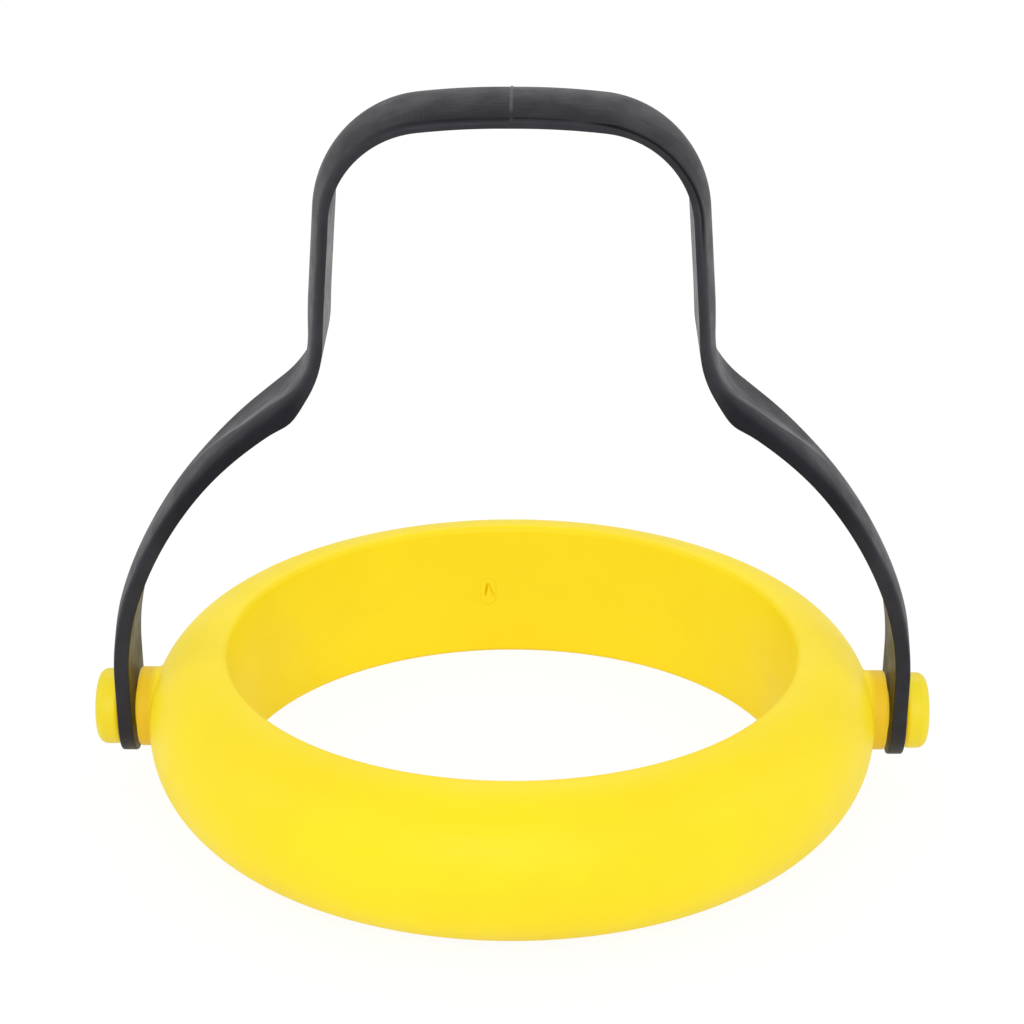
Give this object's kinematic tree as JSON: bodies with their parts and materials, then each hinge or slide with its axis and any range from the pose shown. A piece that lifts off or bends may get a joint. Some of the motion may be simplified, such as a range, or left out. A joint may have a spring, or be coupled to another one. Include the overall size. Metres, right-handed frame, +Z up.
{
  "type": "hand hoop with bail strap",
  "caption": "Hollow round hoop of D section with a flexible bail strap whose eyes swing on button pegs at its two sides, so it can be held, swung and turned over by hand.",
  "frame": {"origin": "on the plane the hoop rests on, under the hoop's centre", "axes": "+X parallel to the bail's hinge axis, +Z up through the hoop's opening, the bail leans 3 degrees towards -Y at rest"},
  "size_m": [0.2308, 0.2, 0.1971],
  "materials": {
    "hoop_plastic": "satin moulded plastic",
    "peg_plastic": "satin moulded plastic",
    "strap_rubber": "moulded rubber, faintly scuffed"
  },
  "bodies": {
    "hoop": {"ring_upper_shell": "hoop_plastic", "ring_lower_shell": "hoop_plastic", "left_button_peg": "peg_plastic", "right_button_peg": "peg_plastic", "vent_plug": "peg_plastic"},
    "bail": {"handle_strap": "strap_rubber"}
  },
  "joints": [
    {"name": "bail_hinge", "type": "hinge", "parent": "hoop", "child": "bail", "pos_m": [0, 0, 0.021], "axis": [1, 0, 0], "continuous": true}
  ]
}
